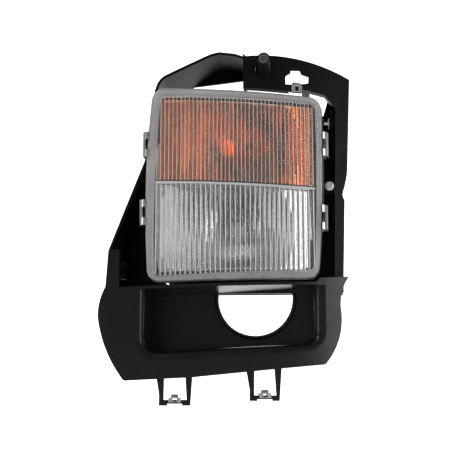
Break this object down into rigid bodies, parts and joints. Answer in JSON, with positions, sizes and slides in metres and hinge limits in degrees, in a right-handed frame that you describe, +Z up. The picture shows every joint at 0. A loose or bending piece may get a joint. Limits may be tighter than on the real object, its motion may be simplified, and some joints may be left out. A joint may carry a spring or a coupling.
{
  "type": "car bumper lamp unit",
  "caption": "Car front lamp unit: an amber turn signal over a clear fog lamp, aimed by a screw inside a black moulded carrier with a lower bezel.",
  "frame": {"origin": "root of the locating post, on its axis, at the front face of the top plate", "axes": "+X outboard (right seen from the front), -Y forward along the locating post, +Z up"},
  "size_m": [0.2577, 0.1375, 0.3704],
  "materials": {
    "carrier_plastic": "satin black, fine moulded grain",
    "bezel_plastic": "satin black, fine moulded grain",
    "buffer_rubber": "dull",
    "nylon": "natural nylon",
    "clip_steel": "zinc-plated spring steel",
    "screw_steel": "zinc-plated",
    "clear_lens": "clear, fluted inside",
    "seal_rubber": "dull",
    "housing_plastic": "satin black",
    "reflector_chrome": "vacuum-metallised",
    "amber_plastic": "amber tinted",
    "socket_plastic": "dark grey",
    "contact_brass": "plain",
    "amber_glass": "amber",
    "bulb_glass": "clear",
    "filament": "drawn wire"
  },
  "bodies": {
    "bracket": {"carrier_frame": "carrier_plastic", "lower_bezel": "bezel_plastic", "post_buffer": "buffer_rubber", "left_pivot_bush": "nylon", "right_pivot_bush": "nylon", "aim_screw_bearing": "nylon", "top_mounting_clip": "clip_steel", "left_mounting_clip": "clip_steel", "right_mounting_clip": "clip_steel", "bezel_screws": "screw_steel"},
    "lamp": {"lamp_housing": "housing_plastic", "lens": "clear_lens", "lens_gasket": "seal_rubber", "vent_cap": "seal_rubber", "turn_reflector": "reflector_chrome", "fog_reflector": "reflector_chrome", "amber_filter": "amber_plastic", "bulb_shield": "reflector_chrome", "upper_left_lens_clip": "clip_steel", "lower_left_lens_clip": "clip_steel", "upper_right_lens_clip": "clip_steel", "lower_right_lens_clip": "clip_steel", "left_pivot_pin": "screw_steel", "right_pivot_pin": "screw_steel", "aim_nut": "nylon"},
    "aim_screw": {"aim_screw": "screw_steel", "aim_screw_ring": "screw_steel"},
    "turn_bulb": {"turn_socket": "socket_plastic", "turn_socket_gasket": "seal_rubber", "turn_contacts": "contact_brass", "turn_bulb_cap": "contact_brass", "turn_bulb_glass": "amber_glass", "turn_filament": "filament"},
    "fog_bulb": {"fog_socket": "socket_plastic", "fog_socket_oring": "seal_rubber", "fog_contacts": "contact_brass", "fog_bulb_glass": "bulb_glass", "fog_filament": "filament"}
  },
  "joints": [
    {"name": "lamp_aim", "type": "hinge", "parent": "bracket", "child": "lamp", "pos_m": [0, 0.048, -0.046], "axis": [1, 0, 0], "range_deg": [-2, 2]},
    {"name": "aim_screw_turn", "type": "hinge", "parent": "bracket", "child": "aim_screw", "pos_m": [0.0665, 0.038, -0.118], "axis": [0, 1, 0], "range_deg": [-620, 620]},
    {"name": "turn_bulb_twist", "type": "hinge", "parent": "lamp", "child": "turn_bulb", "pos_m": [-0.017, 0.066, -0.079], "axis": [0, 1, 0], "range_deg": [0, 45]},
    {"name": "fog_bulb_twist", "type": "hinge", "parent": "lamp", "child": "fog_bulb", "pos_m": [-0.03, 0.066, -0.17], "axis": [0, 1, 0], "range_deg": [0, 45]}
  ],
  "couplings": [
    {"joint": "aim_screw_turn", "follows": "lamp_aim", "ratio": 301.59}
  ]
}
